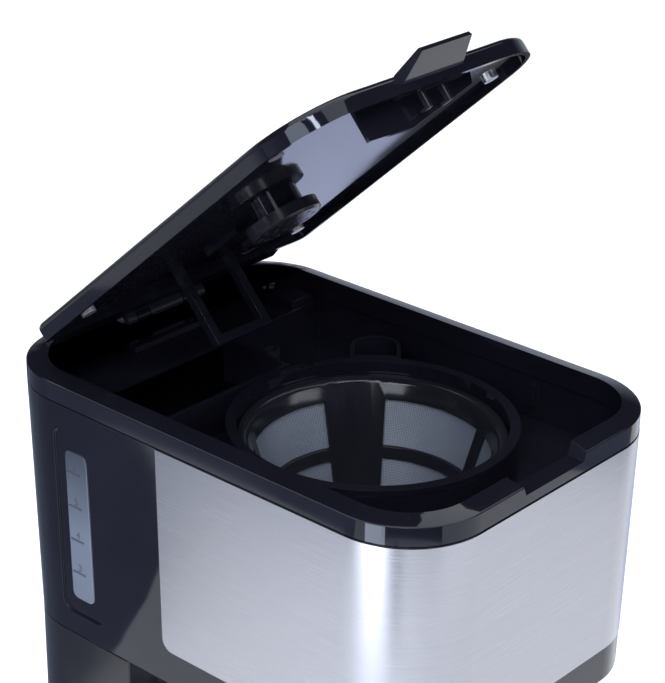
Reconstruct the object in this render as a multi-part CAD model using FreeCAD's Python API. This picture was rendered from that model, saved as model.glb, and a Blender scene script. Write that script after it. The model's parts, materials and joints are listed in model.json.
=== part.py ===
import FreeCAD, Part
import math
import os

V = FreeCAD.Vector
os.makedirs("parts", exist_ok=True)

# Overall body, millimetres. Origin: on the counter, under the middle of the body. Front is -Y.
HALF_W = 75.0            # half width over the top rim
HALF_D = 108.0           # half depth over the top rim
CORNER = 33.0            # vertical corner radius of the body
TAPER = 0.0217           # inward lean of the upper housing per millimetre of height
WALL = 2.5               # general moulding thickness
FOOT_H = 3.2
DECK_Z = 32.0            # top of the base
SEAM_Z = 156.0           # joint between column and upper housing
RIM_Z = 258.0            # underside of the top rim
RIM_EDGE = RIM_Z + 7.6   # outer edge of the rim's sloping top
RIM_TOP = RIM_Z + 9.3    # inner edge of the rim's top
GAP = 0.3                # shadow gap between neighbouring mouldings

# Opening under the lid
OPEN_X = 67.5
OPEN_FRONT = -100.5
OPEN_REAR = 98.5
OPEN_R = 25.0
TRAY_Z = RIM_Z - 18.5    # glossy deck round the brew basket
BAY_BACK = 37.0          # rear wall of the carafe bay

# Brewing
CX, CY = 0.0, -23.2      # axis of basket, filter, plate and carafe
FLANGE_R = 55.6
FLANGE_Z = RIM_Z - 2.5
BASKET_R = 52.7
BASKET_FLOOR = 168.0
FILTER_R = 51.1
FILTER_Z = RIM_Z - 7.7
FILTER_FLOOR = 190.0
TAB_ANGLE = 40.0
VALVE_TIP = 154.6

# Lid, drawn shut and then swung open
LID_FRONT = -98.8
LID_REAR = 75.5
LID_X_FRONT = 68.2       # the lid widens slightly towards its hinge
LID_X_REAR = 73.0
LID_R = 30.0
LID_Z = RIM_TOP + 0.3
LID_TOP = RIM_Z + 16.7
HINGE_Y = 91.64
HINGE_Z = RIM_Z + 9.36
LID_OPEN = 42.02
SPRAY_Y = 3.0

# Water
TANK_X = 69.4
TANK_Y0, TANK_Y1 = 34.6, 102.6
TANK_Z0, TANK_Z1 = 138.0, 236.9
TANK_STEP_Z = 159.5      # the tank's front wall steps back below this, into the column
RISER_X, RISER_Y = 22.0, 50.0
GAUGE_Y0, GAUGE_Y1 = 56.0, 68.0
CUP_STEP = 14.85

PLATE_R = 56.0
PLATE_TOP = 34.3


def box(x0, x1, y0, y1, z0, z1):
    return Part.makeBox(x1 - x0, y1 - y0, z1 - z0, V(x0, y0, z0))


def rod(r, start, end):
    line = V(*end) - V(*start)
    return Part.makeCylinder(r, line.Length, V(*start), line)


def tube(r_out, r_in, start, end):
    return rod(r_out, start, end).cut(rod(r_in, start, end))


def ring(r_out, r_in, z0, z1, x=CX, y=CY):
    return tube(r_out, r_in, (x, y, z0), (x, y, z1))


def outline(x0, x1, y0, y1, z, rf, rr=None):
    """Closed wire of a rectangle with front corners rf and rear corners rr."""
    rr = rf if rr is None else rr
    corners = [
        (x1 - rr, y1 - rr, rr, 0),
        (x0 + rr, y1 - rr, rr, 90),
        (x0 + rf, y0 + rf, rf, 180),
        (x1 - rf, y0 + rf, rf, 270),
    ]
    arcs = []
    for cx, cy, r, start in corners:
        turn = [math.radians(start + step) for step in (0, 45, 90)]
        points = [V(cx + r * math.cos(t), cy + r * math.sin(t), z) for t in turn]
        arcs.append((Part.Arc(*points).toShape(), points[0], points[2]))
    edges = []
    for k in range(4):
        edges.append(arcs[k][0])
        edges.append(Part.makeLine(arcs[k][2], arcs[(k + 1) % 4][1]))
    return Part.Wire(edges)


def block(x0, x1, y0, y1, z0, z1, rf, rr=None):
    face = Part.Face(outline(x0, x1, y0, y1, z0, rf, rr))
    return face.extrude(V(0, 0, z1 - z0))


def side_block(x0, x1, y0, y1, z0, z1, r):
    """Rounded rectangle seen from the side, extruded along X."""
    shape = block(-z1, -z0, y0, y1, x0, x1, r)
    shape.rotate(V(0, 0, 0), V(0, 1, 0), 90)
    return shape


def body(z0, z1, inset=0.0, top_inset=None):
    """Solid with the body's outside shape between two heights, shrunk by inset."""
    top_inset = inset if top_inset is None else top_inset
    wires = []
    for z, shrink in ((z0, inset), (z1, top_inset)):
        lean = TAPER * (RIM_Z - max(min(z, RIM_Z), SEAM_Z)) + shrink
        x = HALF_W - lean
        y = HALF_D - lean
        wires.append(outline(-x, x, -y, y, z, CORNER - lean))
    return Part.makeLoft(wires, True, True)


def prism_x(points, x0, x1):
    """Polygon given as (y, z), extruded along X."""
    wire = Part.makePolygon([V(x0, y, z) for y, z in points + points[:1]])
    return Part.Face(wire).extrude(V(x1 - x0, 0, 0))


def prism_z(points, z0, z1):
    wire = Part.makePolygon([V(x, y, z0) for x, y in points + points[:1]])
    return Part.Face(wire).extrude(V(0, 0, z1 - z0))


def prism_y(points, y0, y1):
    """Polygon given as (x, z), extruded along Y."""
    wire = Part.makePolygon([V(x, y0, z) for x, z in points + points[:1]])
    return Part.Face(wire).extrude(V(0, y1 - y0, 0))


def lathe(points, x=CX, y=CY):
    """Polygon given as (radius, height), turned about a vertical axis."""
    wire = Part.makePolygon([V(x + r, y, z) for r, z in points + points[:1]])
    return Part.Face(wire).revolve(V(x, y, 0), V(0, 0, 1), 360)


def blown(outer, inner, x=CX, y=CY):
    """Turned wall whose outside and inside are smooth curves through (radius, height) points."""
    edges = []
    ends = []
    for points in (outer, inner):
        curve = Part.BSplineCurve()
        curve.interpolate([V(x + r, y, z) for r, z in points])
        edges.append(curve.toShape())
        ends.append((V(x + points[0][0], y, points[0][1]), V(x + points[-1][0], y, points[-1][1])))
    edges.append(Part.makeLine(ends[0][1], ends[1][1]))
    edges.append(Part.makeLine(ends[0][0], ends[1][0]))
    wire = Part.Wire(Part.sortEdges(edges)[0])
    return Part.Face(wire).revolve(V(x, y, 0), V(0, 0, 1), 360)


def hose(points, bend, r_out, r_in=None):
    """Flexible tube along straight runs joined by bends of one radius."""
    knots = [V(*p) for p in points]
    edges = []
    last = knots[0]
    for before, knot, after in zip(knots, knots[1:], knots[2:]):
        back = (before - knot).normalize()
        ahead = (after - knot).normalize()
        half = back.getAngle(ahead) / 2
        reach = bend / math.tan(half)
        first = knot + back * reach
        second = knot + ahead * reach
        middle = (back + ahead).normalize() * (bend / math.sin(half) - bend) + knot
        edges.append(Part.makeLine(last, first))
        edges.append(Part.Arc(first, middle, second).toShape())
        last = second
    edges.append(Part.makeLine(last, knots[-1]))
    path = Part.Wire(edges)
    solids = []
    for r in (r_out, r_in) if r_in else (r_out,):
        section = Part.Wire([Part.makeCircle(r, knots[0], knots[1] - knots[0])])
        solids.append(path.makePipeShell([section], True, True))
    return solids[0].cut(solids[1]) if r_in else solids[0]


def strap(outer, inner, x0, x1):
    """Bar between two smooth side curves given as (y, z), extruded along X."""
    edges = []
    for points in (outer, inner):
        curve = Part.BSplineCurve()
        curve.interpolate([V(x0, y, z) for y, z in points])
        edges.append(curve.toShape())
    for k in (0, -1):
        edges.append(Part.makeLine(V(x0, *outer[k]), V(x0, *inner[k])))
    face = Part.Face(Part.Wire(Part.sortEdges(edges)[0]))
    return face.extrude(V(x1 - x0, 0, 0))


def fuse(*shapes):
    whole = shapes[0].multiFuse(list(shapes[1:]))
    return whole.removeSplitter()


def cut(shape, *tools):
    return shape.cut(list(tools))


def around(shape, angle, x=CX, y=CY):
    turned = shape.copy()
    turned.rotate(V(x, y, 0), V(0, 0, 1), angle)
    return turned


def swung(shape):
    """Lid pieces are drawn shut and stored open."""
    turned = shape.copy()
    turned.rotate(V(0, HINGE_Y, HINGE_Z), V(-1, 0, 0), LID_OPEN)
    return turned


def write(name, *solids):
    shape = solids[0] if len(solids) == 1 else Part.makeCompound(list(solids))
    bad = [s for s in shape.Solids if not s.isValid() or s.Volume <= 0]
    print(name, len(shape.Solids), "solids", round(shape.Volume), "mm3", "INVALID" if bad else "")
    shape.exportStep("parts/" + name + ".step")


# ---------------------------------------------------------------- base
def base_parts():
    shell = fuse(
        body(FOOT_H, DECK_Z - 3).common(box(-90, 90, -120, BAY_BACK, 0, 60)),
        body(DECK_Z - 3, DECK_Z, 0, 2.2).common(box(-90, 90, -120, BAY_BACK, 0, 60)),
        body(FOOT_H, DECK_Z + 1.6).common(box(-90, 90, BAY_BACK, 120, 0, 60)),
    )
    shell = cut(
        shell,
        body(0, DECK_Z - WALL, WALL),
        box(-66, 66, BAY_BACK + WALL, 101, 20, 60).common(body(0, 60, 6)),
        rod(PLATE_R - 3, (CX, CY, 0), (CX, CY, 60)),
        side_hole(0, 19.5, 7.5, 12.5),
        rod(6.7, (30, 90, 17), (30, 120, 17)),
    )
    bosses = [ring(4, 1.4, 5.6, DECK_Z - 1, x, y) for x, y in SCREWS]
    bosses += [box(59.7, 71, 65, 67, 8, 28), box(-71, -59.7, 65, 67, 8, 28)]
    write("base_shell", fuse(shell, *bosses))

    cover = body(FOOT_H + 0.1, FOOT_H + 2.1, 3.0)
    holes = [rod(1.9, (x, y, 0), (x, y, 10)) for x, y in SCREWS]
    holes += [rod(3.1, (x, y, 0), (x, y, 10)) for x, y in FEET]
    vents = [box(x - 1.2, x + 1.2, 50, 74, 0, 10) for x in range(-18, 19, 6)]
    write("bottom_cover", cut(cover, *(holes + vents)))

    feet = []
    for x, y in FEET:
        pad = [(0, 0), (7.2, 0), (8, 1), (8, 3.2), (3, 3.2)]
        stem = [(3, 5.5), (4, 5.5), (3, 7.5), (0, 7.5)]
        feet.append(lathe(pad + stem, x, y))
    write("rubber_feet", *feet)
    screws = []
    for x, y in SCREWS:
        head = rod(3.3, (x, y, 1.6), (x, y, FOOT_H))
        shank = rod(1.35, (x, y, FOOT_H), (x, y, 16))
        slot = box(x - 2.2, x + 2.2, y - 0.4, y + 0.4, 0, 2.3)
        screws.append(cut(fuse(head, shank), slot, around(slot, 90, x, y)))
    write("cover_screws", *screws)


def side_hole(x, z, half_z, half_x):
    """Rectangular hole through the front wall of the base."""
    return box(x - half_x, x + half_x, -120, -95, z - half_z, z + half_z)


SCREWS = [(-56, -62), (56, -62), (-56, 66), (56, 66)]
FEET = [(-50, -78), (50, -78), (-50, 80), (50, 80)]
SWITCH_Z = 19.5


def switch_parts():
    y0 = HALF_D - TAPER * (RIM_Z - SEAM_Z)
    frame = fuse(
        box(-15, 15, -y0 - 1.4, -y0 - 0.1, SWITCH_Z - 9.5, SWITCH_Z + 9.5),
        box(-12.3, 12.3, -y0 - 0.1, -y0 + 9, SWITCH_Z - 7.3, SWITCH_Z + 7.3),
    )
    frame = cut(frame, box(-11, 11, -y0 - 3, -y0 + 7.5, SWITCH_Z - 6.4, SWITCH_Z + 6.4))
    write("switch_bezel", frame)
    profile = []
    for k in range(9):
        z = -5.4 + 1.35 * k
        profile.append((-y0 - 2.6 + 0.035 * z * z * 1.2, SWITCH_Z + z))
    profile += [(-y0 + 3.6, SWITCH_Z + 5.0), (-y0 + 5.0, SWITCH_Z), (-y0 + 3.6, SWITCH_Z - 5.0)]
    rocker = prism_x(profile, -10.2, 10.2)
    rocker.rotate(V(0, -y0 + 1.5, SWITCH_Z), V(1, 0, 0), -6)
    write("switch_rocker", rocker)
    contacts = []
    for x in (-8, 0, 8):
        contacts.append(box(x - 2, x + 2, -y0 + 9.1, -y0 + 16, SWITCH_Z - 0.4, SWITCH_Z + 0.4))
    write("switch_terminals", *contacts)


# ---------------------------------------------------------------- heating
def heating_parts():
    plate = lathe([
        (0, PLATE_TOP - 1.0), (50, PLATE_TOP - 1.0), (50, 29.6), (51.2, 29.6), (51.2, PLATE_TOP - 1.2),
        (PLATE_R, PLATE_TOP - 1.2), (PLATE_R, PLATE_TOP - 0.3),
        (PLATE_R - 0.8, PLATE_TOP), (0, PLATE_TOP),
    ])
    write("warming_plate", plate)
    write("plate_seal", ring(55.2, 51.4, DECK_Z + 0.05, PLATE_TOP - 1.25))

    z = 24.4
    loop = Part.makeTorus(33, 6.2, V(CX, CY, z), V(0, 0, 1), 0, 360, 290)
    loop = around(loop, 125)
    ends = []
    for angle in (125, 55):
        a = math.radians(angle)
        ex = CX + 33 * math.cos(a)
        ey = CY + 33 * math.sin(a)
        ends.append((ex, ey))
    legs = [rod(5.6, (x, y, z), (x * 1.3, 29, z)) for x, y in ends]
    legs += [rod(3.5, (x * 1.3, 28, z), (x * 1.3, 37, z)) for x, y in ends]
    casting = cut(fuse(loop, *legs), box(-80, 80, -90, 60, z + 4.6, z + 20))
    bore = around(Part.makeTorus(33, 2.4, V(CX, CY, z), V(0, 0, 1), 0, 360, 290), 125)
    bores = [rod(2.4, (x, y, z), (x * 1.3, 28.5, z)) for x, y in ends]
    bores += [rod(2.4, (x * 1.3, 28, z), (x * 1.3, 40, z)) for x, y in ends]
    casting = cut(casting, bore, *bores)
    write("heater_tube", casting)
    element = around(Part.makeTorus(21.5, 3.2, V(CX, CY, 25.4), V(0, 0, 1), 0, 360, 300), 120)
    pins = []
    for angle in (120, 60):
        a = math.radians(angle)
        x = CX + 21.5 * math.cos(a)
        y = CY + 21.5 * math.sin(a)
        pins.append(rod(1.6, (x, y, 25.4), (x * 0.8, 20, 25.4)))
    write("heating_element", fuse(element, *pins))
    bar = cut(box(-8, 8, CY - 46, CY + 46, 15.0, 16.4), rod(2.1, (CX, CY, 0), (CX, CY, 30)))
    write("heater_clamp", bar)
    stud = fuse(rod(1.95, (CX, CY, 12.2), (CX, CY, 33.2)), rod(4.4, (CX, CY, 12.2), (CX, CY, 14.9)))
    write("clamp_bolt", stud)
    disc = fuse(rod(8, (0, -44, 29.2), (0, -44, 33.0)), box(-10, 10, -46, -42, 29.2, 30))
    write("thermostat", disc)
    fuses = [rod(2.0, (x, -36, 8.6), (x, -12, 8.6)) for x in (-14, 14)]
    write("thermal_fuses", *fuses)
    routes = [
        [
            (-5.5, 84, 10.5), (-5.5, 66, 8.6), (-46, 40, 8.6), (-46, -60, 8.6),
            (-8, -76, 19.5), (-8, -88.6, 19.5),
        ],
        [(5.5, 84, 10.5), (5.5, 66, 8.6), (14, 30, 8.6), (14, -11.6, 8.6)],
        [(8, -88.6, 19.5), (8, -76, 19.5), (24, -60, 8.6), (14, -50, 8.6), (14, -37.4, 8.6)],
    ]
    write("lead_wires", *[hose(route, 5, 0.9) for route in routes])


# ---------------------------------------------------------------- column
def column_parts():
    outer = body(DECK_Z + 1.9, SEAM_Z - GAP).common(box(-90, 90, BAY_BACK, 120, 0, 200))
    inner = body(0, SEAM_Z + 10, WALL).common(box(-90, 90, BAY_BACK + WALL, 120, 0, 200))
    write("column_shell", outer.cut(inner))
    y = 105.8
    gland = fuse(
        rod(9.5, (30, y + 0.1, 17), (30, y + 2.4, 17)),
        rod(6.4, (30, y - 6, 17), (30, 120.0, 17)),
    )
    gland = cut(gland, rod(3.4, (30, 90, 17), (30, 130, 17)))
    grooves = [tube(8, 5.6, (30, y + d, 17), (30, y + d + 1.4, 17)) for d in (5, 8, 11)]
    write("cord_gland", cut(gland, *grooves))
    block_body = box(-10, 10, 80, 96, 5.8, 15)
    pockets = [box(x - 2, x + 2, 79, 90, 8, 13) for x in (-5.5, 5.5)]
    write("terminal_block", cut(block_body, *pockets))
    x = 1.3 * 33 * math.cos(math.radians(55))
    low_a = [(-x, 31, 24.4), (-x, 58, 24.4), (-22, 70, 66), (-22, 70, 121)]
    low_b = [(x, 31, 24.4), (x, 54, 24.4), (RISER_X, RISER_Y, 66), (RISER_X, RISER_Y, 123)]
    hose_a = hose(low_a, 13, 4.9, 3.7)
    hose_b = hose(low_b, 13, 4.9, 3.7)
    write("inlet_hose", hose_a)
    write("riser_hose", hose_b)
    valve = fuse(
        tube(7.2, 3.6, (-22, 70, 122), (-22, 70, 135)),
        tube(3.5, 2.4, (-22, 70, 113), (-22, 70, 122)),
        tube(7.2, 2.4, (-22, 70, 121.6), (-22, 70, 123.2)),
    )
    write("check_valve", valve)
    clips = []
    for x, py, z in ((-22, 70, 117), (RISER_X, RISER_Y, 119)):
        clip = tube(6.0, 5.1, (x, py, z - 2), (x, py, z + 2))
        ears = box(x + 5.6, x + 9.8, py - 1.6, py + 1.6, z - 2, z + 2)
        gap = box(x + 4, x + 12, py - 0.5, py + 0.5, z - 3, z + 3)
        clips.append(fuse(clip, ears).cut(gap))
    write("hose_clips", *[s for c in clips for s in c.Solids])


# ---------------------------------------------------------------- upper housing
def wrap_zone(grow=0.0):
    """Front region covered by the steel wrap, with rounded lower rear corners."""
    zone = box(-100, 100, -130, 17 + grow, RIM_Z - 87 - grow, RIM_Z - 0.9 + grow)
    corner = []
    for edge in zone.Edges:
        c = edge.BoundBox
        behind = abs(c.YMin - 17 - grow) < 0.01
        below = abs(c.ZMax - RIM_Z + 87 + grow) < 0.01
        if behind and below and c.XLength > 100:
            corner.append(edge)
    return zone.makeFillet(5 + grow, corner)


def housing_parts():
    top = RIM_Z - 0.4
    shell = body(SEAM_Z, top).cut(body(SEAM_Z - 5, top + 5, WALL))
    floor = body(SEAM_Z, SEAM_Z + WALL, 1.0).common(box(-90, 90, -120, BAY_BACK, 0, 300))
    floor = cut(floor, rod(24, (CX, CY, 0), (CX, CY, 300)))
    lip = fuse(
        ring(26, 24, SEAM_Z - 1.5, SEAM_Z + 5),
        box(-69.6, 69.6, BAY_BACK - WALL - 2.0, BAY_BACK - WALL - 0.3, SEAM_Z + 1, SEAM_Z + 12),
    )
    shell = fuse(shell, floor, lip)
    recess = body(SEAM_Z + 5, RIM_Z - 2, -2).cut(body(SEAM_Z + 5, RIM_Z - 2, 0.9))
    pocket = side_block(-90, 0, 50.0, 73.5, RIM_Z - 92.5, RIM_Z - 10.8, 5)
    slot = side_block(-90, -60, GAUGE_Y0 - 0.15, GAUGE_Y1 + 0.15, RIM_Z - 85.15, RIM_Z - 18.85, 3.15)
    strip = body(SEAM_Z + 5, RIM_Z - 0.4 + 5, -2).cut(body(SEAM_Z + 5, RIM_Z - 0.4 + 5, 0.65))
    shell = cut(shell, recess.common(pocket), slot, strip.common(wrap_zone(0.12)))
    write("housing_shell", shell)
    sheet = body(SEAM_Z + 8, RIM_Z + 4, -0.2).cut(body(SEAM_Z + 8, RIM_Z + 4, 0.5))
    write("front_wrap", sheet.common(wrap_zone()))
    window = side_block(-90, -TANK_X + 1.9, GAUGE_Y0, GAUGE_Y1, RIM_Z - 85, RIM_Z - 19, 3)
    window = window.common(body(SEAM_Z + 5, RIM_Z, 0.35))
    x0 = -TANK_X - 1.6
    x1 = -TANK_X - 0.15
    flange = side_block(x0, x1, GAUGE_Y0 - 4, GAUGE_Y1 + 4, RIM_Z - 89, RIM_Z - 15, 5)
    window = fuse(window, flange.common(body(SEAM_Z + 5, RIM_Z, WALL + 0.1)))
    marks = []
    for k in range(4):
        z = RIM_Z - 28.4 - CUP_STEP * k
        marks.append(box(-90, -60, 60, 67, z - 0.35, z + 0.35))
    layer = body(SEAM_Z + 5, RIM_Z, 0.13).cut(body(SEAM_Z + 5, RIM_Z, 0.34))
    write("gauge_window", window)
    write("gauge_marks", *[m.common(layer) for m in marks])

    rim = fuse(
        block(-HALF_W, HALF_W, -HALF_D, HALF_D, RIM_Z, RIM_EDGE - 0.4, CORNER),
        Part.makeLoft([
            outline(-HALF_W, HALF_W, -HALF_D, HALF_D, RIM_EDGE - 0.4, CORNER),
            outline(0.5 - HALF_W, HALF_W - 0.5, 0.5 - HALF_D, HALF_D - 0.5, RIM_EDGE, CORNER - 0.5),
        ], True, True),
        Part.makeLoft([
            outline(0.5 - HALF_W, HALF_W - 0.5, 0.5 - HALF_D, HALF_D - 0.5, RIM_EDGE, CORNER - 0.5),
            outline(7.5 - HALF_W, HALF_W - 7.5, 7.5 - HALF_D, HALF_D - 7.5, RIM_TOP, CORNER - 7.5),
        ], True, True),
    )
    rim = cut(rim, block(-OPEN_X, OPEN_X, OPEN_FRONT, OPEN_REAR, RIM_Z - 1, RIM_TOP + 1, OPEN_R))
    scoop = [(-17, RIM_Z + 4), (17, RIM_Z + 4), (19.5, RIM_TOP + 1), (-19.5, RIM_TOP + 1)]
    wire = Part.makePolygon([V(x, -130, z) for x, z in scoop + scoop[:1]])
    rim = rim.cut(Part.Face(wire).extrude(V(0, 130 + OPEN_FRONT + 1, 0)))
    write("top_rim", rim)


def tray_parts():
    z0 = TRAY_Z - 2.0
    x0 = OPEN_X + 0.7
    wall = block(-x0 - 1.8, x0 + 1.8, OPEN_FRONT - 2.5, OPEN_REAR + 2.0, z0, RIM_Z - 0.6, OPEN_R + 2)
    wall = wall.cut(block(-x0, x0, OPEN_FRONT - 0.7, OPEN_REAR + 0.7, z0 - 1, RIM_Z + 1, OPEN_R + 0.7))
    lip = block(-72, 72, -105, 105, RIM_Z - 2.6, RIM_Z - 0.6, 30)
    lip = lip.cut(block(-x0, x0, OPEN_FRONT - 0.7, OPEN_REAR + 0.7, z0 - 1, RIM_Z + 1, OPEN_R + 0.7))
    deck = block(-x0 - 1, x0 + 1, OPEN_FRONT - 1.5, OPEN_REAR + 1.5, z0, TRAY_Z, OPEN_R + 1)
    deck = cut(
        deck,
        box(-90, 12.5, 35, 66, 200, 300),
        box(-90, 90, 66, 120, 200, 300),
        rod(54, (CX, CY, 200), (CX, CY, 300)),
        rod(4.6, (RISER_X, RISER_Y, 200), (RISER_X, RISER_Y, 300)),
    )
    well = ring(55.3, 53.3, SEAM_Z + 3.4, FLANGE_Z - 2.5)
    divider = fuse(
        box(-x0 - 1, 14.5, 33.0, 35.0, z0, RIM_Z - 2.5),
        box(12.5, 14.5, 33.0, 66, z0, RIM_Z - 2.5),
        box(12.5, x0 + 1, 66, 68, z0, RIM_Z - 2.0),
        box(-x0 - 1, x0 + 1, 66, OPEN_REAR + 1.5, RIM_Z - 4.0, RIM_Z - 2.0).common(
            block(-x0 - 1, x0 + 1, OPEN_FRONT, OPEN_REAR + 1.5, 200, 300, OPEN_R + 1)
        ),
    )
    step = box(52, 64.5, 66.5, 80, RIM_Z - 2.1, RIM_Z + 2)
    ribs = [
        box(x0 - 1.6, x0 + 0.5, -49, -47, RIM_Z - 12.5, RIM_Z - 3),
        box(x0 - 1.6, x0 + 0.5, 6, 8, RIM_Z - 7, RIM_Z - 2),
    ]
    tray = fuse(wall, lip, deck, well, divider, step, *ribs)
    tray = cut(
        tray,
        rod(53.3, (CX, CY, 150), (CX, CY, 253)),
        box(-75, -65, GAUGE_Y0 - 6, GAUGE_Y1 + 6, z0 - 5, RIM_Z - 13.5),
        *[rod(1.2, (x, 88.5, 240), (x, 88.5, 260)) for x in (-13, 13)],
    )
    write("inner_tray", tray)

    low_y = BAY_BACK + WALL + 0.4
    tank = fuse(
        block(-TANK_X, TANK_X, TANK_Y0, TANK_Y1, TANK_STEP_Z, TANK_Z1, 4, 29),
        block(-TANK_X, TANK_X, low_y, TANK_Y1, TANK_Z0, TANK_STEP_Z, 4, 29),
    )
    hollow = fuse(
        block(2 - TANK_X, TANK_X - 2, TANK_Y0 + 2, TANK_Y1 - 2, TANK_STEP_Z + 2, TANK_Z1 + 5, 3, 27),
        block(2 - TANK_X, TANK_X - 2, low_y + 2, TANK_Y1 - 2, TANK_Z0 + 2, TANK_STEP_Z + 2, 3, 27),
    )
    tank = cut(
        tank,
        hollow,
        side_block(-90, -60, GAUGE_Y0 - 0.15, GAUGE_Y1 + 0.15, RIM_Z - 85.15, RIM_Z - 18.85, 3.15),
    )
    outlet = tube(3.4, 2.4, (-22, 70, TANK_Z0 - 10), (-22, 70, TANK_Z0 + 0.5))
    socket = tube(7.4, 5.0, (RISER_X, RISER_Y, TANK_Z0), (RISER_X, RISER_Y, TANK_Z0 + 12))
    tank = cut(
        fuse(tank, outlet, socket),
        rod(2.4, (-22, 70, 120), (-22, 70, TANK_Z0 + 3)),
        rod(5.0, (RISER_X, RISER_Y, 120), (RISER_X, RISER_Y, TANK_Z0 + 20)),
    )
    write("water_tank", tank)
    pipe = tube(3.4, 2.4, (RISER_X, RISER_Y, 115), (RISER_X, RISER_Y, RIM_Z - 4))
    collar = ring(4.9, 3.0, TANK_Z0 + 3, TANK_Z0 + 10, RISER_X, RISER_Y)
    collar = cut(collar, rod(2.4, (RISER_X, RISER_Y, 100), (RISER_X, RISER_Y, 260)))
    write("riser_pipe", fuse(pipe, collar))
    slit = box(-30, -14, 69.6, 70.4, TANK_Z0 + 3.5, TANK_Z0 + 7)
    strainer = cut(
        ring(6.5, 5.4, TANK_Z0 + 2.1, TANK_Z0 + 8, -22, 70),
        *[around(slit, a, -22, 70) for a in (0, 45, 90, 135)],
    )
    cap = ring(6.5, 1, TANK_Z0 + 8, TANK_Z0 + 9, -22, 70)
    write("tank_strainer", fuse(strainer, cap))


# ---------------------------------------------------------------- lid
def lid_block(inset, z0, z1):
    """Lid outline shrunk by inset, with large front corners and small rear ones."""
    front = LID_FRONT + inset
    rear = LID_REAR - inset
    xf = LID_X_FRONT - inset
    xr = LID_X_REAR - inset
    shape = prism_z([(-xf, front), (xf, front), (xr, rear), (-xr, rear)], z0, z1)
    for y, r in ((front, LID_R - inset), (rear, 4.6 - inset)):
        upright = []
        for edge in shape.Edges:
            b = edge.BoundBox
            if b.ZLength > 1 and abs(b.YMin - y) < 0.01 and b.XLength < 0.01:
                upright.append(edge)
        shape = shape.makeFillet(r, upright)
    return shape


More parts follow.
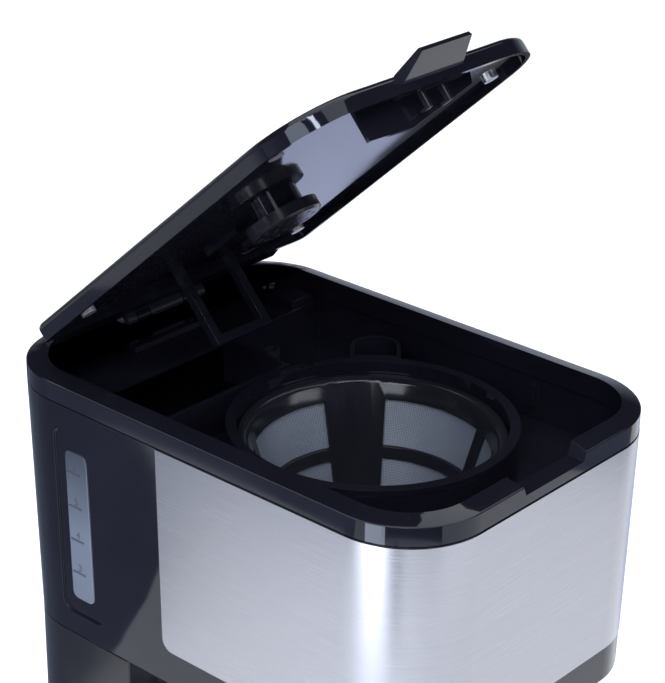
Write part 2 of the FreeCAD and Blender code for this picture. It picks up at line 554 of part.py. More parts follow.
def lid_parts():
    cover = lid_block(0, LID_Z, LID_TOP)
    top_edges = []
    for edge in cover.Edges:
        b = edge.BoundBox
        if abs(b.ZMin - LID_TOP) < 0.01:
            top_edges.append(edge)
    cover = cover.makeFillet(2.4, top_edges)
    inside = lid_block(2, LID_Z - 1, LID_TOP - 2)
    tab_side = [(-97.5, LID_TOP), (-109.6, RIM_Z + 19.8), (-110.4, RIM_Z + 18.2)]
    tab_side += [(-99, LID_TOP - 4.2), (-97.5, LID_TOP - 4.2)]
    tab = prism_x(tab_side, -19, 19)
    plan = prism_z([(-18.5, -96), (15, -96), (13, -112), (-13, -112)], 200, 300)
    cover = fuse(cover.cut(inside), tab.common(plan))
    arms = []
    for x0, x1 in ((-16, -9.4), (9.4, 16)):
        arm = fuse(
            prism_x([
                (LID_REAR - 1.5, LID_TOP - 5.2), (LID_REAR - 1.5, LID_TOP - 0.9),
                (HINGE_Y - 1, HINGE_Z + 4.6), (HINGE_Y, HINGE_Z), (LID_REAR + 6, LID_Z + 1.2),
            ], x0, x1),
            rod(4.7, (x0, HINGE_Y, HINGE_Z), (x1, HINGE_Y, HINGE_Z)),
        )
        arms.append(arm)
    web = prism_x([
        (LID_REAR - 1.5, LID_TOP - 5.2), (LID_REAR - 1.5, LID_TOP - 3.0),
        (86.2, HINGE_Z + 2.4), (86.2, HINGE_Z + 0.4),
    ], -63, 63)
    cover = fuse(cover, web, *arms)
    cover = cover.cut(rod(1.85, (-30, HINGE_Y, HINGE_Z), (30, HINGE_Y, HINGE_Z)))
    write("lid_cover", swung(cover))

    z1 = LID_TOP - 2.6
    z0 = z1 - 1.8
    liner = lid_block(2.4, z0, z1)
    skirt = prism_y([
        (-34.5, z0 + 0.5), (-34.5, RIM_Z + 0.5), (-12.5, RIM_Z - 0.3),
        (26, RIM_Z + 7.4), (28.6, z0 + 0.5),
    ], -88.6, -87)
    guard = fuse(
        box(-20.3, -16.7, 47.2, 50.8, RIM_Z - 21.9, z0 + 0.5),
        box(5.6, 9.2, 47.2, 50.8, RIM_Z - 21.9, z0 + 0.5),
        box(-20.3, 9.2, 47.2, 50.8, RIM_Z - 21.9, RIM_Z - 18.3),
    )
    stub = ring(10.4, 7.6, z0 - 4.2, z0 + 0.4, 0, SPRAY_Y)
    rib = box(-10, -8.4, 18.5, 40, z0 - 2.0, z0 + 0.4)
    liner = fuse(liner, skirt, guard, stub, rib)
    bosses = [(-58, -70), (58, -70), (-58, 60), (58, 60)]
    holes = [rod(1.7, (x, y, 200), (x, y, 300)) for x, y in bosses]
    liner = cut(liner, rod(7.6, (0, SPRAY_Y, 200), (0, SPRAY_Y, z0 + 0.9)), *holes)
    write("lid_liner", swung(liner))
    screws = []
    for x, y in bosses:
        screw = fuse(rod(3, (x, y, z0 - 1.6), (x, y, z0)), rod(1.5, (x, y, z0), (x, y, LID_TOP - 2.2)))
        screws.append(swung(cut(screw, box(x - 2, x + 2, y - 0.4, y + 0.4, z0 - 2, z0 - 1))))
    write("lid_screws", *screws)
    head = lathe([
        (7.6, z0 - 4.4), (15, z0 - 4.4), (15, RIM_Z + 3.6), (14.1, RIM_Z + 2.6), (0, RIM_Z + 2.6),
        (0, RIM_Z + 4.2), (7.6, RIM_Z + 4.2),
    ], 0, SPRAY_Y)
    room = ring(13.4, 5, RIM_Z + 4.2, z0 - 5.8, 0, SPRAY_Y)
    holes = []
    for count, r in ((6, 5.5), (10, 11.0)):
        for k in range(count):
            a = 2 * math.pi * k / count
            x = r * math.cos(a)
            y = SPRAY_Y + r * math.sin(a)
            holes.append(rod(0.9, (x, y, RIM_Z), (x, y, RIM_Z + 4.4)))
    write("spray_head", swung(cut(head, room, *holes)))
    duct_plan = [(15, 57), (29, 57), (29, 42), (11.5, 7.2), (6.2, 12.9), (15, 42)]
    channel = [(16.5, 55.5), (27.5, 55.5), (27.5, 43), (11.2, 9.4), (8.2, 12.8), (16.5, 42)]
    duct = prism_z(duct_plan, z0 - 3.4, z0 - 0.1).cut(prism_z(channel, z0 - 2.2, z0 + 1))
    inlet = rod(4.2, (RISER_X, RISER_Y, RIM_Z), (RISER_X, RISER_Y, z0 - 1))
    write("water_duct", swung(duct.cut(inlet)))
    latch = box(-15.5, 20, -94.6, -89.2, z0 - 1.9, z0 - 0.1)
    for x in (-6.4, 4.6):
        leg = box(x, x + 1.8, -94.6, -92, RIM_Z + 3, z0 - 1.8)
        toe = box(x, x + 1.8, -94.6, -89.2, RIM_Z + 3, RIM_Z + 4.4)
        latch = fuse(latch, leg, toe)
    write("lid_latch", swung(latch))


def hinge_parts():
    z0 = RIM_Z - 2.0 + 0.05
    foot = box(-21.5, 21.5, 83.5, 97.4, z0, z0 + 2.4)
    ears = []
    for x0, x1 in ((-21.5, -16.5), (-8.9, 8.9), (16.5, 21.5)):
        side = [(86.5, z0 + 1), (96.4, z0 + 1), (HINGE_Y + 4.7, HINGE_Z), (HINGE_Y - 4.7, HINGE_Z)]
        ear = fuse(
            prism_x(side, x0, x1),
            rod(4.7, (x0, HINGE_Y, HINGE_Z), (x1, HINGE_Y, HINGE_Z)),
        )
        ears.append(ear)
    bracket = fuse(foot, *ears)
    bracket = cut(
        bracket,
        rod(1.8, (-30, HINGE_Y, HINGE_Z), (30, HINGE_Y, HINGE_Z)),
        *[rod(1.5, (x, 85.2, z0 - 1), (x, 85.2, z0 + 3)) for x in (-13, 13)],
    )
    write("hinge_bracket", bracket)
    write("hinge_pin", rod(1.78, (-21.8, HINGE_Y, HINGE_Z), (21.8, HINGE_Y, HINGE_Z)))


# ---------------------------------------------------------------- brewing
def basket_parts():
    wall = lathe([
        (FLANGE_R, FLANGE_Z), (FLANGE_R, FLANGE_Z - 2.2), (BASKET_R, FLANGE_Z - 2.2),
        (48.5, BASKET_FLOOR + 12), (40, BASKET_FLOOR - 1), (9.5, BASKET_FLOOR - 2),
        (9.5, BASKET_FLOOR - 8), (8.2, BASKET_FLOOR - 8), (8.2, BASKET_FLOOR - 2),
        (5.2, BASKET_FLOOR - 2), (5.2, BASKET_FLOOR), (12, BASKET_FLOOR),
        (38.5, BASKET_FLOOR + 1.2), (47, BASKET_FLOOR + 13),
        (50.2, FILTER_Z - 2.4), (51.45, FILTER_Z - 2.4),
        (51.45, FLANGE_Z),
    ])
    cup = fuse(
        box(55.9, 66.3, -10.2, 10.2, FLANGE_Z - 11.5, FLANGE_Z),
        rod(10.2, (66.3, 0, FLANGE_Z - 11.5), (66.3, 0, FLANGE_Z)),
    )
    hollow = fuse(
        box(57.6, 66.3, -8.5, 8.5, FLANGE_Z - 9.8, FLANGE_Z + 1),
        rod(8.5, (66.3, 0, FLANGE_Z - 9.8), (66.3, 0, FLANGE_Z + 1)),
    )
    bridge = box(53.5, 57.0, -10.2, 10.2, FLANGE_Z - 2.2, FLANGE_Z)
    tab = fuse(cup.cut(hollow), bridge)
    tab.translate(V(CX, CY, 0))
    basket = fuse(wall, around(tab, TAB_ANGLE))
    basket = basket.cut(rod(2.0, (14.3, 28.3, FLANGE_Z - 1.2), (14.3, 28.3, FLANGE_Z + 2)))
    write("brew_basket", basket)

    top = BASKET_FLOOR + 13.0
    leg = box(7.6, 9.4, CY - 1.4, CY + 1.4, BASKET_FLOOR + 0.05, top)
    legs = [around(leg, 120 * k) for k in range(3)]
    cage = fuse(ring(9.4, 2.6, top - 1.4, top), *legs)
    write("valve_cage", cage)
    plunger = fuse(
        rod(2.5, (CX, CY, VALVE_TIP + 2), (CX, CY, top + 1.0)),
        rod(7.0, (CX, CY, BASKET_FLOOR + 1.05), (CX, CY, BASKET_FLOOR + 2.4)),
        lathe([
            (0, VALVE_TIP), (4.6, VALVE_TIP), (6, VALVE_TIP + 1.4),
            (6, VALVE_TIP + 3), (0, VALVE_TIP + 4),
        ]),
    )
    write("drip_valve", plunger)
    write("valve_gasket", ring(6.8, 2.6, BASKET_FLOOR + 0.05, BASKET_FLOOR + 1.0))
    coil_z = BASKET_FLOOR + 3.0
    length = top - 1.4 - 0.5 - coil_z
    helix = Part.makeHelix(length / 5.0, length, 4.6)
    helix.translate(V(CX, CY, coil_z))
    section = Part.Wire([Part.makeCircle(0.4, V(CX + 4.6, CY, coil_z), V(0, 1, 0))])
    write("valve_spring", Part.Wire(helix.Edges).makePipeShell([section], True, True))


def filter_parts():
    z1 = FILTER_Z
    low = FILTER_FLOOR
    cone = lathe([
        (FILTER_R, z1), (FILTER_R, z1 - 2.0), (FILTER_R - 2.6, z1 - 2.3),
        (30, low), (0, low), (0, low + 1.5), (28.9, low + 1.5),
        (FILTER_R - 4.2, z1 - 2.0), (FILTER_R - 1.6, z1),
    ])
    ribs = [(50, 15.5), (126, 3.5), (154, 3.5), (230, 15.5), (306, 3.5), (334, 3.5)]
    windows = []
    for k in range(len(ribs)):
        start = ribs[k][0] + ribs[k][1]
        end = ribs[(k + 1) % len(ribs)][0] - ribs[(k + 1) % len(ribs)][1]
        for z_lo, z_hi in ((low + 5, low + 29.5), (low + 34, z1 - 8.2)):
            sector = Part.makeCylinder(70, z_hi - z_lo, V(CX, CY, z_lo), V(0, 0, 1), (end - start) % 360)
            windows.append(around(sector, start))
    floor_cut = ring(26, 6, low - 1, low + 3)
    for k in range(3):
        spoke = box(0, 30, CY - 2, CY + 2, low - 2, low + 4)
        floor_cut = floor_cut.cut(around(spoke, TAB_ANGLE + 120 * k))
    write("filter_frame", cut(cone, floor_cut, *windows))
    rim_z = z1 - 6.0
    r_top = 30 + (FILTER_R - 2.6 - 30) * (rim_z - low) / (z1 - 2.3 - low)
    mesh = lathe([
        (r_top + 0.65, rim_z), (r_top + 0.2, rim_z), (30.2, low - 0.15), (0, low - 0.15), (0, low - 0.6),
        (30.5, low - 0.6),
    ])
    write("filter_mesh", mesh)


def carafe_parts():
    foot = PLATE_TOP + 0.3
    outer = [(44, 0), (49.4, 1.9), (53.2, 7), (55.4, 18), (55.5, 32)]
    outer += [(53.2, 52), (46.6, 76), (41.0, 90), (39.8, 97), (40.8, 104)]
    inner = [(43.6, 2.2), (48.0, 3.8), (51.2, 8.2), (53.3, 18), (53.4, 32)]
    inner += [(51.1, 52), (44.6, 75.3), (39.0, 89.5), (37.8, 97), (38.8, 104)]
    glass = blown([(r, foot + z) for r, z in outer], [(r, foot + z) for r, z in inner])
    write("carafe_glass", fuse(glass, rod(43.9, (CX, CY, foot), (CX, CY, foot + 2.2))))
    z = foot + 94
    band = ring(42.5, 41.6, z - 5, z + 5)
    tongue = box(-7, 7, CY - 47.4, CY - 41.0, z - 5, z + 5)
    tongue = tongue.cut(rod(41.6, (CX, CY, z - 9), (CX, CY, z + 9)))
    screw_hole = rod(1.7, (0, -90, z), (0, -40, z))
    head_hole = rod(3.2, (0, CY - 43.4, z), (0, -40, z))
    write("carafe_band", cut(fuse(band, tongue), screw_hole, head_hole))
    y_in = CY - 47.7
    y_out = -124.0
    outer = [(y_in, z + 8), (y_in - 14, z + 9), (y_out + 16, z + 7), (y_out + 3.5, z - 3)]
    outer += [(y_out, z - 20), (y_out + 2, z - 42), (y_out + 9, z - 60), (y_out + 17, z - 67)]
    inner = [(y_in, z - 7), (y_in - 12, z - 5), (y_out + 21, z - 5.5), (y_out + 13.5, z - 11)]
    inner += [(y_out + 11.5, z - 24), (y_out + 13, z - 40), (y_out + 18, z - 54), (y_out + 24, z - 61)]
    handle = strap(outer, inner, -10, 10)
    rims = [e for e in handle.Edges if e.BoundBox.XLength < 0.01 and e.Length > 30]
    handle = handle.makeFillet(3.2, rims)
    write("carafe_handle", handle.cut(rod(1.7, (0, y_in - 12, z), (0, -40, z))))
    shank = rod(1.6, (0, y_in - 10, z), (0, CY - 43.2, z))
    screw = fuse(shank, rod(3.0, (0, CY - 43.2, z), (0, CY - 42.3, z)))
    write("handle_screw", screw)
    top = VALVE_TIP - 0.5
    zl = foot + 104.3
    lid = lathe([
        (0, top - 4), (0, top - 6), (9, top - 6), (16, zl + 4),
        (34, zl + 1), (34.8, zl - 8), (36.6, zl - 8),
        (37.2, zl), (42.4, zl), (42.4, zl + 4), (37, zl + 9),
        (24, top - 1.2), (18, top - 0.4), (13, top - 0.4),
        (9, top - 4),
    ])
    drain = [around(rod(1.4, (CX + 5.5, CY, 100), (CX + 5.5, CY, 200)), 72 * k) for k in range(5)]
    grip = box(-6, 6, CY - 50.5, CY - 38, zl + 0.5, zl + 3.2)
    write("carafe_lid", cut(fuse(lid, grip), *drain))


base_parts()
switch_parts()
heating_parts()
column_parts()
housing_parts()
tray_parts()
lid_parts()
hinge_parts()
basket_parts()
filter_parts()
carafe_parts()
print("done")
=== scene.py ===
import json
import math

import bmesh
import bpy
from mathutils import Matrix, Vector


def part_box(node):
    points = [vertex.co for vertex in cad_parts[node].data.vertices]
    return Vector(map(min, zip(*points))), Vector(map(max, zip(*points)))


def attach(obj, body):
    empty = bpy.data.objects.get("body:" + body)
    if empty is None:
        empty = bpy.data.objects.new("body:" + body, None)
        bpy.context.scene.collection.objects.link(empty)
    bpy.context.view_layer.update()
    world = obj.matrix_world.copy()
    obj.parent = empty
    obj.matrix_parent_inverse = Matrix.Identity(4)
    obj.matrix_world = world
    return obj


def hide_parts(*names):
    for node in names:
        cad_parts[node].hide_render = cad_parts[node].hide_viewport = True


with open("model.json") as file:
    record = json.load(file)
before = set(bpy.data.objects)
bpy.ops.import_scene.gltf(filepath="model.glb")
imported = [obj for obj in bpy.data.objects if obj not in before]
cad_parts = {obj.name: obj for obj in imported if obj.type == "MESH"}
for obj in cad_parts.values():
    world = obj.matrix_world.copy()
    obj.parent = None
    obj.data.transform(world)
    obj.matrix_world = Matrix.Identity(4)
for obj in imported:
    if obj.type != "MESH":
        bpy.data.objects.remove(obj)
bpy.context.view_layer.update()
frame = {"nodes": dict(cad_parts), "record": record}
record = frame["record"]
bodyOf = {node: body for body, nodes in record["behaviour"]["bodies"].items() for node in nodes}
slotOf = {entry["node"]: entry["material_slot"] for entry in record["subparts"]}
print("frame loaded with", len(frame["nodes"]), "nodes")

mm = 0.001


# camera, looking down on the left front corner

view = {
    "place": (-0.5609, -0.4987, 0.6284),
    "right": (0.66716736, -0.74479801, 0.01279228),
    "up": (0.30538913, 0.28914106, 0.90726784),
    "lens": 115.38,
    "sensor": 36.0,
    "nearest": 0.05,
    "farthest": 40,
}
viewRight = Vector(view["right"])
viewUp = Vector(view["up"])
viewTurn = Matrix((viewRight, viewUp, viewRight.cross(viewUp))).transposed().to_4x4()
camera = bpy.data.objects.new("camera", bpy.data.cameras.new("camera"))
camera.data.lens = view["lens"]
camera.data.sensor_width = view["sensor"]
camera.data.clip_start = view["nearest"]
camera.data.clip_end = view["farthest"]
camera.matrix_world = Matrix.Translation(view["place"]) @ viewTurn
bpy.context.scene.collection.objects.link(camera)
bpy.context.scene.camera = camera


# lights: softboxes and a low card round the table, none seen directly

studio = {
    "overheadBox": {"place": (0.1, 0.1, 3.4), "aim": (0, 0, 0), "size": (5.0, 5.0), "power": 250,
                    "tint": (1.0, 1.0, 1.0)},
    "leftBox": {"place": (-0.98, -0.52, 0.92), "aim": (0, 0, 0.33), "size": (0.72, 0.50), "power": 10},
    "cornerCard": {"place": (-0.52, -0.10, 0.10), "aim": (0, -0.09, 0.2), "size": (0.2, 0.34),
                   "power": 2.6},
    "frontBox": {"place": (0.5, -1.5, 0.8), "aim": (0, 0, 0.2), "size": (0.9, 0.5), "power": 9},
    "edgeStrip": {"place": (-0.72, -0.62, 1.3), "aim": (0, 0, 0.25), "size": (1.6, 0.07), "power": 16},
}
studioTint = (0.86, 0.91, 1.0)  # cool, for every light without a tint of its own


def addLight(name, setting):
    lamp = bpy.data.lights.new(name, "AREA")
    lamp.shape = "RECTANGLE"
    lamp.size, lamp.size_y = setting["size"]
    lamp.energy = setting["power"]
    lamp.color = setting.get("tint", studioTint)
    holder = bpy.data.objects.new(name, lamp)
    holder.location = setting["place"]
    reach = Vector(setting["aim"]) - Vector(setting["place"])
    holder.rotation_euler = reach.to_track_quat("-Z", "Y").to_euler()
    holder.visible_camera = False
    bpy.context.scene.collection.objects.link(holder)


for name, setting in studio.items():
    addLight(name, setting)


# backdrop: pale at the horizon, dark overhead

backdrop = {"low": (0.76, 0.83, 1.0), "high": (0.018, 0.019, 0.026), "darkFrom": 0.34, "strength": 0.9}
world = bpy.data.worlds.new("studio")
bpy.context.scene.world = world
world.use_nodes = True
sky = world.node_tree.nodes
skyLinks = world.node_tree.links
heading = sky.new("ShaderNodeTexCoord")
split = sky.new("ShaderNodeSeparateXYZ")
skyLinks.new(heading.outputs["Generated"], split.inputs["Vector"])
height = sky.new("ShaderNodeValToRGB")
lowest, highest = height.color_ramp.elements
lowest.position = 0.0
lowest.color = (*backdrop["low"], 1)
highest.position = backdrop["darkFrom"]
highest.color = (*backdrop["high"], 1)
skyLinks.new(split.outputs["Z"], height.inputs["Fac"])
skyLinks.new(height.outputs["Color"], sky["Background"].inputs["Color"])
sky["Background"].inputs["Strength"].default_value = backdrop["strength"]
bpy.context.scene.view_settings.view_transform = "Standard"
bpy.context.scene.view_settings.look = "None"


# floor, and boards lying on it that only the polished surfaces see; each board's tone is a painted
# reflection, dark or pale, in the gloss and the steel

floorReach = 9
floorCorners = [(-floorReach, -floorReach, 0), (floorReach, -floorReach, 0),
                (floorReach, floorReach, 0), (-floorReach, floorReach, 0)]
floorMesh = bpy.data.meshes.new("floor")
floorMesh.from_pydata(floorCorners, [], [(0, 1, 2, 3)])
floor = bpy.data.objects.new("floor", floorMesh)
bpy.context.scene.collection.objects.link(floor)

# painted reflections: the dark boards paint dark patches into the polished surfaces' reflections, the pale
# lidCard paints a lavender reflection
reflectionFlags = {  # discs, or rings where the inner radius isn't zero
    "sideFlag": {"around": (-0.113, 0.497), "radii": (0.0, 0.30), "tone": (0.10, 0.12, 0.17)},
    "rimSideFlag": {"around": (0.60, 0.30), "radii": (1.012, 1.25), "turn": (150, 190),
                    "tone": (0.18, 0.20, 0.28)},
    "rimFlag": {"around": (-0.065, -0.093), "radii": (0.447, 0.60), "turn": (189, 265),
                "tone": (0.01, 0.01, 0.02)},
    "dipFlag": {"around": (-0.40, -0.27), "radii": (0.0, 0.06), "tone": (0.2, 0.22, 0.26)},
    "frontFlag": {"around": (0.62, -0.46), "radii": (0.0, 0.23), "tone": (0.16, 0.18, 0.26)},
    "lidCard": {"around": (0.40, 0.10), "radii": (0.0, 0.19), "tone": (0.42, 0.47, 0.66)},
    "lidFlag": {"around": (0.803, 0.919), "radii": (0.0, 0.752), "tone": (0.01, 0.01, 0.015)},
}
fullTurn = (0, 360)  # degrees, for a flag without a turn of its own
flagSteps = 48  # corners along each edge
firstLift, nextLift = 3 * mm, 1 * mm  # each board lies a little above the one before


def addFlag(name, setting, lift):
    inner, outer = setting["radii"]
    start, stop = (math.radians(angle) for angle in setting.get("turn", fullTurn))
    corners = []
    for radius, order in ((outer, range(flagSteps + 1)), (inner, range(flagSteps, -1, -1))):
        if radius > 0:
            for k in order:
                angle = start + (stop - start) * k / flagSteps
                corners.append((radius * math.cos(angle), radius * math.sin(angle), 0))
    mesh = bpy.data.meshes.new(name)
    mesh.from_pydata(corners, [], [tuple(range(len(corners)))])
    board = bpy.data.objects.new(name, mesh)
    board.location = (*setting["around"], lift)
    board.visible_camera = False
    board.visible_diffuse = False
    board.visible_shadow = False
    board.visible_transmission = False
    bpy.context.scene.collection.objects.link(board)
    return board


boards = []
for count, (name, setting) in enumerate(reflectionFlags.items()):
    boards.append(addFlag(name, setting, firstLift + nextLift * count))
print("camera, lights and floor set")


# materials

def newMaterial(name):
    material = bpy.data.materials.new(name)
    material.use_nodes = True
    tree = material.node_tree
    place = tree.nodes.new("ShaderNodeTexCoord").outputs["Object"]
    return material, tree.nodes, tree.links, tree.nodes["Principled BSDF"], place


def noise(nodes, links, place, scale, detail=2.0):
    texture = nodes.new("ShaderNodeTexNoise")
    texture.inputs["Scale"].default_value = scale
    texture.inputs["Detail"].default_value = detail
    links.new(place, texture.inputs["Vector"])
    return texture.outputs["Fac"]


def ramp(nodes, links, source, stops):
    node = nodes.new("ShaderNodeValToRGB")
    band = node.color_ramp
    while len(band.elements) < len(stops):
        band.elements.new(0.5)
    for element, (place, colour) in zip(band.elements, stops):
        element.position = place
        element.color = (*colour, 1)
    links.new(source, node.inputs["Fac"])
    return node.outputs["Color"]


def shades(nodes, links, source, shader, low, high, span=(0.3, 0.7)):
    stops = [(span[0], low), (span[1], high)]
    links.new(ramp(nodes, links, source, stops), shader.inputs["Base Color"])


def polish(nodes, links, source, shader, values, span=(0.3, 0.7)):
    stops = [(place, (value,) * 3) for place, value in zip(span, values)]
    links.new(ramp(nodes, links, source, stops), shader.inputs["Roughness"])


def dent(nodes, links, source, shader, strength, depth):
    relief = nodes.new("ShaderNodeBump")
    relief.inputs["Strength"].default_value = strength
    relief.inputs["Distance"].default_value = depth
    links.new(source, relief.inputs["Height"])
    links.new(relief.outputs["Normal"], shader.inputs["Normal"])


def toned(colour, factor):
    return tuple(min(1.0, channel * factor) for channel in colour)


plasticIor = 1.5
coolSheen = (0.80, 0.87, 1.0, 1)  # tint of what the polished plastics mirror


def moulded(name, colour, mottle, roughness, grain, bump, shine=0.5):
    material, nodes, links, shader, place = newMaterial(name)
    cloud = noise(nodes, links, place, scale=18.0, detail=3.0)
    fine = noise(nodes, links, place, scale=grain)
    shades(nodes, links, cloud, shader, toned(colour, 1 - mottle), toned(colour, 1 + mottle))
    polish(nodes, links, cloud, shader, roughness)
    dent(nodes, links, fine, shader, strength=bump, depth=0.2 * mm)
    shader.inputs["Specular IOR Level"].default_value = shine
    shader.inputs["IOR"].default_value = plasticIor
    return material


def glossy(name, colour, roughness, wave, shine=0.22):
    material, nodes, links, shader, place = newMaterial(name)
    cloud = noise(nodes, links, place, scale=26.0)
    swell = noise(nodes, links, place, scale=30.0, detail=0.0)  # slow sink marks of a moulded wall
    shades(nodes, links, cloud, shader, toned(colour, 0.75), colour)
    polish(nodes, links, cloud, shader, roughness, span=(0.35, 0.65))
    dent(nodes, links, swell, shader, strength=wave, depth=1.2 * mm)
    shader.inputs["IOR"].default_value = plasticIor
    shader.inputs["Specular IOR Level"].default_value = shine
    shader.inputs["Specular Tint"].default_value = coolSheen
    return material


def brushed(name, colour, stretch, roughness, depth=0.06):
    material, nodes, links, shader, place = newMaterial(name)
    squash = nodes.new("ShaderNodeMapping")
    squash.inputs["Scale"].default_value = stretch
    links.new(place, squash.inputs["Vector"])
    streak = noise(nodes, links, squash.outputs["Vector"], scale=1.0, detail=4.0)
    shades(nodes, links, streak, shader, toned(colour, 0.9), toned(colour, 1.06))
    polish(nodes, links, streak, shader, roughness)
    dent(nodes, links, streak, shader, strength=depth, depth=0.1 * mm)
    shader.inputs["Metallic"].default_value = 1.0
    return material


def steelSheet(name, colour, roughness):
    levelLines = (25, 25, 9000)
    material = brushed(name, colour, levelLines, roughness, depth=0.012)
    material.node_tree.nodes["Principled BSDF"].inputs["Anisotropic"].default_value = 0.35
    return material


def blownGlass(name, colour, roughness, ior=1.47):
    material, nodes, links, shader, place = newMaterial(name)
    cloud = noise(nodes, links, place, scale=30.0)
    shades(nodes, links, cloud, shader, toned(colour, 0.94), colour)
    polish(nodes, links, cloud, shader, roughness)
    shader.inputs["Transmission Weight"].default_value = 1.0
    shader.inputs["IOR"].default_value = ior
    return material


# the pitch is true all round at the given radius, and the weave closes up below it
filterCloth = {
    "thread": (0.12, 0.137, 0.175),
    # the hole colour is painted shade: the dark seen through the open weave
    "hole": (0.025, 0.028, 0.035),
    "pitch": 0.62 * mm,
    "radius": 38 * mm,
    "patches": 0.3,  # how far the cloth's shade wanders
}


def woven(name, cloth, axis):
    material, nodes, links, shader, place = newMaterial(name)
    split = nodes.new("ShaderNodeSeparateXYZ")
    links.new(place, split.inputs["Vector"])

    def calc(operation, first, second=None):
        node = nodes.new("ShaderNodeMath")
        node.operation = operation
        for socket, value in zip(node.inputs, (first, second)):
            if isinstance(value, (int, float)):
                socket.default_value = value
            elif value is not None:
                links.new(value, socket)
        return node.outputs["Value"]

    perTurn = math.pi * cloth["radius"] / cloth["pitch"]
    perHeight = math.pi / cloth["pitch"]
    angle = calc("ARCTAN2", calc("SUBTRACT", split.outputs["Y"], axis), split.outputs["X"])
    warp = calc("ABSOLUTE", calc("SINE", calc("MULTIPLY", angle, perTurn)))
    weft = calc("ABSOLUTE", calc("SINE", calc("MULTIPLY", split.outputs["Z"], perHeight)))
    weave = calc("MULTIPLY", warp, weft)
    patchy = calc("MULTIPLY", noise(nodes, links, place, scale=60.0), cloth["patches"])
    both = calc("ADD", weave, patchy)
    # threads take the cloth colour, the holes between them get painted shade
    shades(nodes, links, both, shader, cloth["thread"], cloth["hole"], span=(0.25, 0.95))
    polish(nodes, links, weave, shader, (0.32, 0.6), span=(0.2, 0.8))
    dent(nodes, links, weave, shader, strength=0.5, depth=0.2 * mm)
    return material


gaugeTint = {
    "top": (0.015, 0.02, 0.03),
    "bottom": (0.075, 0.09, 0.12),
    "margin": 4 * mm,  # plain at each end of the window
    "fadeFrom": 0.45,  # share of the height where it starts to darken
}


def tintedWindow(name, tint, box):
    material, nodes, links, shader, place = newMaterial(name)
    split = nodes.new("ShaderNodeSeparateXYZ")
    links.new(place, split.inputs["Vector"])
    rise = nodes.new("ShaderNodeMapRange")
    rise.inputs["From Min"].default_value = box[0][2] + tint["margin"]
    rise.inputs["From Max"].default_value = box[1][2] - tint["margin"]
    links.new(split.outputs["Z"], rise.inputs["Value"])
    stops = [(0.0, tint["bottom"]), (tint["fadeFrom"], tint["bottom"]), (1.0, tint["top"])]
    links.new(ramp(nodes, links, rise.outputs["Result"], stops), shader.inputs["Base Color"])
    polish(nodes, links, noise(nodes, links, place, scale=40.0), shader, (0.3, 0.4))
    shader.inputs["Transmission Weight"].default_value = 0.1
    shader.inputs["Specular Tint"].default_value = coolSheen
    return material


filterLow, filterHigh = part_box("filter_mesh")
filterAxis = (filterLow[1] + filterHigh[1]) / 2
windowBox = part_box("gauge_window")

finishes = {  # one for each of the record's material slots
    "gloss_black": glossy("glossBlack", colour=(0.0045, 0.0045, 0.0075), roughness=(0.035, 0.06), wave=0.03),
    "tank_plastic": glossy("tankBlack", colour=(0.006, 0.006, 0.009), roughness=(0.08, 0.14), wave=0.04),
    "rocker_plastic": glossy("rockerBlack", colour=(0.008, 0.008, 0.009), roughness=(0.1, 0.14), wave=0.02),
    "black_plastic": moulded("satinBlack", colour=(0.007, 0.007, 0.010), mottle=0.3,
                             roughness=(0.14, 0.2), grain=2600, bump=0.06, shine=0.2),
    "grey_plastic": moulded("mattGrey", colour=(0.05, 0.05, 0.053), mottle=0.2,
                            roughness=(0.45, 0.55), grain=2600, bump=0.3),
    "white_plastic": moulded("naturalWhite", colour=(0.62, 0.62, 0.58), mottle=0.06,
                             roughness=(0.35, 0.45), grain=1800, bump=0.15),
    "plate_enamel": moulded("plateCoating", colour=(0.016, 0.016, 0.017), mottle=0.3,
                            roughness=(0.35, 0.45), grain=2600, bump=0.3),
    "foot_rubber": moulded("footRubber", colour=(0.02, 0.02, 0.02), mottle=0.3,
                           roughness=(0.7, 0.85), grain=3000, bump=0.5),
    "seal_rubber": moulded("sealSilicone", colour=(0.32, 0.30, 0.28), mottle=0.1,
                           roughness=(0.5, 0.6), grain=2000, bump=0.2),
    "hose_silicone": moulded("milkySilicone", colour=(0.55, 0.55, 0.52), mottle=0.08,
                             roughness=(0.3, 0.4), grain=1400, bump=0.1),
    "wire_sheath": moulded("redSheath", colour=(0.35, 0.03, 0.02), mottle=0.1,
                           roughness=(0.4, 0.5), grain=1500, bump=0.1),
    "thermostat_ceramic": moulded("glazedCeramic", colour=(0.6, 0.55, 0.46), mottle=0.06,
                                  roughness=(0.2, 0.3), grain=1200, bump=0.1),
    "mark_ink": moulded("printedInk", colour=(0.03, 0.03, 0.045), mottle=0.2,
                        roughness=(0.4, 0.5), grain=2000, bump=0.1),
    "mesh_nylon": woven("filterCloth", filterCloth, filterAxis),
    "wrap_steel": steelSheet("brushedSteel", colour=(0.255, 0.26, 0.285), roughness=(0.24, 0.28)),
    "screw_steel": brushed("zincSteel", colour=(0.5, 0.5, 0.51), stretch=(900, 900, 900),
                           roughness=(0.25, 0.4)),
    "spring_steel": brushed("springWire", colour=(0.55, 0.55, 0.57), stretch=(2000, 2000, 200),
                            roughness=(0.2, 0.3)),
    "sheath_steel": brushed("sheathSteel", colour=(0.2, 0.2, 0.21), stretch=(500, 500, 500),
                            roughness=(0.3, 0.5)),
    "terminal_brass": brushed("brassStrip", colour=(0.6, 0.42, 0.16), stretch=(700, 700, 700),
                              roughness=(0.25, 0.4)),
    "cast_aluminium": brushed("castAluminium", colour=(0.5, 0.5, 0.51), stretch=(400, 400, 400),
                              roughness=(0.4, 0.6), depth=0.4),
    "window_clear": tintedWindow("windowBlue", gaugeTint, windowBox),
    "clear_glass": blownGlass("carafeGlass", colour=(0.98, 1.0, 0.99), roughness=(0.0, 0.01)),
}
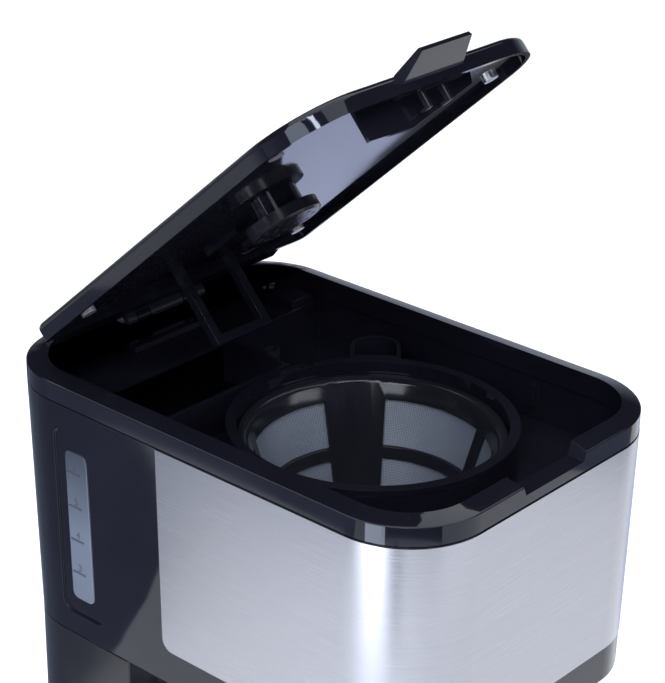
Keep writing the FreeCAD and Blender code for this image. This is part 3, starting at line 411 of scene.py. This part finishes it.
# each board's matt colour is a painted reflection, seen only in the polished surfaces
for name, board in zip(reflectionFlags, boards):
    matt = moulded(name, reflectionFlags[name]["tone"], mottle=0.05, roughness=(0.8, 0.9), grain=200, bump=0.02)
    board.data.materials.append(matt)
paleFloor = moulded("paleFloor", colour=(0.93, 0.93, 0.94), mottle=0.004,
                    roughness=(0.6, 0.7), grain=200, bump=0.02)
floor.data.materials.append(paleFloor)

for node, thing in frame["nodes"].items():
    thing.data.materials.clear()
    thing.data.materials.append(finishes[slotOf[node]])
print("materials made")


# moulded and pressed pieces get rounded edges

edgeRound = {  # radius of each piece's edges, mm
    "base_shell": 0.7, "bottom_cover": 0.5, "rubber_feet": 0.8, "switch_bezel": 0.5, "switch_rocker": 0.5,
    "warming_plate": 0.3, "column_shell": 0.6, "cord_gland": 0.5, "terminal_block": 0.4,
    "housing_shell": 0.5, "gauge_window": 0.4, "top_rim": 0.8, "inner_tray": 0.6, "water_tank": 0.5,
    "lid_cover": 0.7, "lid_liner": 0.35, "lid_latch": 0.4, "spray_head": 0.4, "water_duct": 0.4,
    "hinge_bracket": 0.5, "brew_basket": 0.4, "valve_cage": 0.25, "drip_valve": 0.4, "filter_frame": 0.35,
    "carafe_band": 0.25, "carafe_handle": 0.4, "carafe_lid": 0.5, "check_valve": 0.3, "tank_strainer": 0.3,
    "heater_clamp": 0.3, "thermostat": 0.3,
}
rounding = {
    "segments": 3,
    "sharpFrom": 38,  # degrees between faces before an edge is rounded
    "flatWithin": 0.6,  # degrees between faces that become one
    "weld": 2e-6,  # metres between corners that become one
    "faceWeight": 60,  # keeps big flat faces flat in the shading
}


def roundedCopy(node, radius):
    mesh = frame["nodes"][node].data.copy()
    mesh.name = node + "Soft"
    work = bmesh.new()
    work.from_mesh(mesh)
    bmesh.ops.remove_doubles(work, verts=work.verts, dist=rounding["weld"])
    flat = math.radians(rounding["flatWithin"])
    bmesh.ops.dissolve_limit(work, angle_limit=flat, verts=work.verts, edges=work.edges)
    work.to_mesh(mesh)
    work.free()
    for face in mesh.polygons:
        face.use_smooth = True
    piece = bpy.data.objects.new(node + "Soft", mesh)
    bpy.context.scene.collection.objects.link(piece)
    bevel = piece.modifiers.new("roundEdges", "BEVEL")
    bevel.width = radius * mm
    bevel.segments = rounding["segments"]
    bevel.limit_method = "ANGLE"
    bevel.angle_limit = math.radians(rounding["sharpFrom"])
    bevel.use_clamp_overlap = True
    bevel.harden_normals = False
    even = piece.modifiers.new("evenNormals", "WEIGHTED_NORMAL")
    even.mode = "FACE_AREA"
    even.weight = rounding["faceWeight"]
    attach(piece, bodyOf[node])
    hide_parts(node)


for node, radius in edgeRound.items():
    roundedCopy(node, radius)
print("rounded pieces made:", len(edgeRound))


# the gauge's numbers, thin ink beside each line

gauge = {  # millimetres, apart from the numbers and the lean
    "numbers": "6543",
    "size": 4.6,
    "thick": 0.1,
    "lift": 1.0,  # foot of the number above its line's middle
    "lean": 0.0217,  # the wall's inward lean for each unit of height
    "sink": 0.3,  # behind the housing's outer face
    "shift": -0.6,  # towards the front
    "lineHalf": 0.35,  # half of a printed line's height
}
marksLow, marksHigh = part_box("gauge_marks")
firstLine = marksHigh[2] - gauge["lineHalf"] * mm
lastLine = marksLow[2] + gauge["lineHalf"] * mm
lineStep = (firstLine - lastLine) / (len(gauge["numbers"]) - 1)
middle = (marksLow[1] + marksHigh[1]) / 2
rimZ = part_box("top_rim")[0][2]  # underside of the top rim, where the wall starts to lean
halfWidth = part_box("top_rim")[1][0]


def gaugeNumber(number, z):
    name = "gaugeNumber" + number
    writing = bpy.data.curves.new(name, "FONT")
    writing.body = number
    writing.size = gauge["size"] * mm
    writing.align_x = "CENTER"
    writing.extrude = gauge["thick"] * mm / 2
    holder = bpy.data.objects.new(name, writing)
    bpy.context.scene.collection.objects.link(holder)
    bpy.context.view_layer.update()
    inked = bpy.data.meshes.new_from_object(holder)
    bpy.data.objects.remove(holder)
    x = -halfWidth + gauge["lean"] * (rimZ - z) + gauge["sink"] * mm
    y = middle + gauge["shift"] * mm
    facing = Matrix(((0, 0, -1, x), (-1, 0, 0, y), (0, 1, 0, z), (0, 0, 0, 1)))
    inked.transform(facing @ Matrix.Rotation(math.atan(gauge["lean"]), 4, "X"))
    label = bpy.data.objects.new(name, inked)
    bpy.context.scene.collection.objects.link(label)
    label.data.materials.append(finishes["mark_ink"])
    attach(label, bodyOf["gauge_marks"])


for count, number in enumerate(gauge["numbers"]):
    gaugeNumber(number, firstLine - lineStep * count + gauge["lift"] * mm)
print("gauge numbers made")
